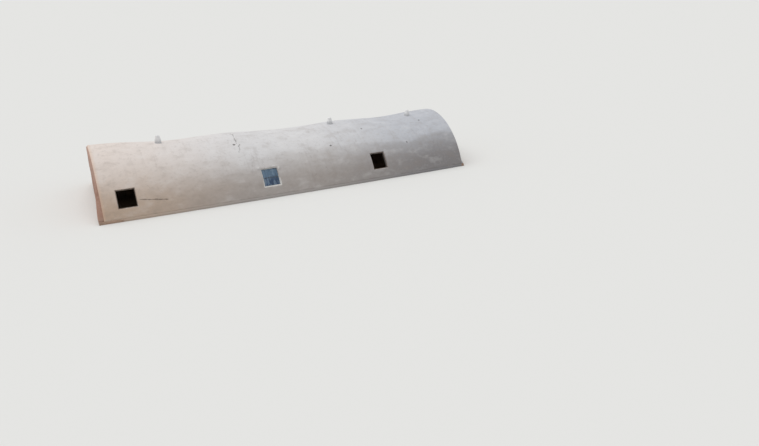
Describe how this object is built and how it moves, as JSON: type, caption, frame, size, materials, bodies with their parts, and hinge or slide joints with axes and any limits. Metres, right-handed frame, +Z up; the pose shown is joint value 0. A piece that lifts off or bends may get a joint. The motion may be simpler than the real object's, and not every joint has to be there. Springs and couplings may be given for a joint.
{
  "type": "vaulted adobe house",
  "caption": "Long single-room earth house: a low barrel vault of plastered adobe with mud end walls, square haunch windows, ridge vent stubs and an end doorway.",
  "frame": {"origin": "middle of the plan on the ground, under the footing", "axes": "+X along the vault towards the end with the doorway, +Z up, -Y towards the front side with its windows"},
  "size_m": [17.74, 6.31, 2.6946],
  "materials": {
    "plaster": "matte",
    "mud_wall": "matte",
    "earth": "matte",
    "pale_paint": "satin",
    "window_glass": "gloss",
    "timber": "matte"
  },
  "bodies": {
    "root": {"front_pier_1": "plaster", "front_apron_1": "plaster", "front_pier_2": "plaster", "front_apron_2": "plaster", "front_pier_3": "plaster", "front_apron_3": "plaster", "front_pier_4": "plaster", "back_pier_1": "plaster", "back_apron_1": "plaster", "back_pier_2": "plaster", "back_apron_2": "plaster", "back_pier_3": "plaster", "back_apron_3": "plaster", "back_pier_4": "plaster", "front_crown_1": "plaster", "front_crown_2": "plaster", "front_crown_3": "plaster", "front_crown_4": "plaster", "back_crown_1": "plaster", "back_crown_2": "plaster", "back_crown_3": "plaster", "back_crown_4": "plaster", "ridge_vents": "plaster", "left_end_wall": "mud_wall", "left_end_batter": "mud_wall", "right_end_front": "mud_wall", "right_end_back": "mud_wall", "right_end_over_door": "mud_wall", "right_batter_front": "mud_wall", "right_batter_back": "mud_wall", "front_footing": "earth", "back_footing": "earth", "left_footing": "earth", "right_footing_front": "earth", "right_footing_back": "earth", "earth_floor": "earth", "front_window_frame_1": "pale_paint", "front_window_frame_2": "pale_paint", "front_window_frame_3": "pale_paint", "back_window_frame_1": "pale_paint", "back_window_frame_2": "pale_paint", "back_window_frame_3": "pale_paint", "window_glass": "window_glass", "door_threshold": "timber", "door_lintel": "timber", "door_frame": "timber"}
  },
  "joints": []
}
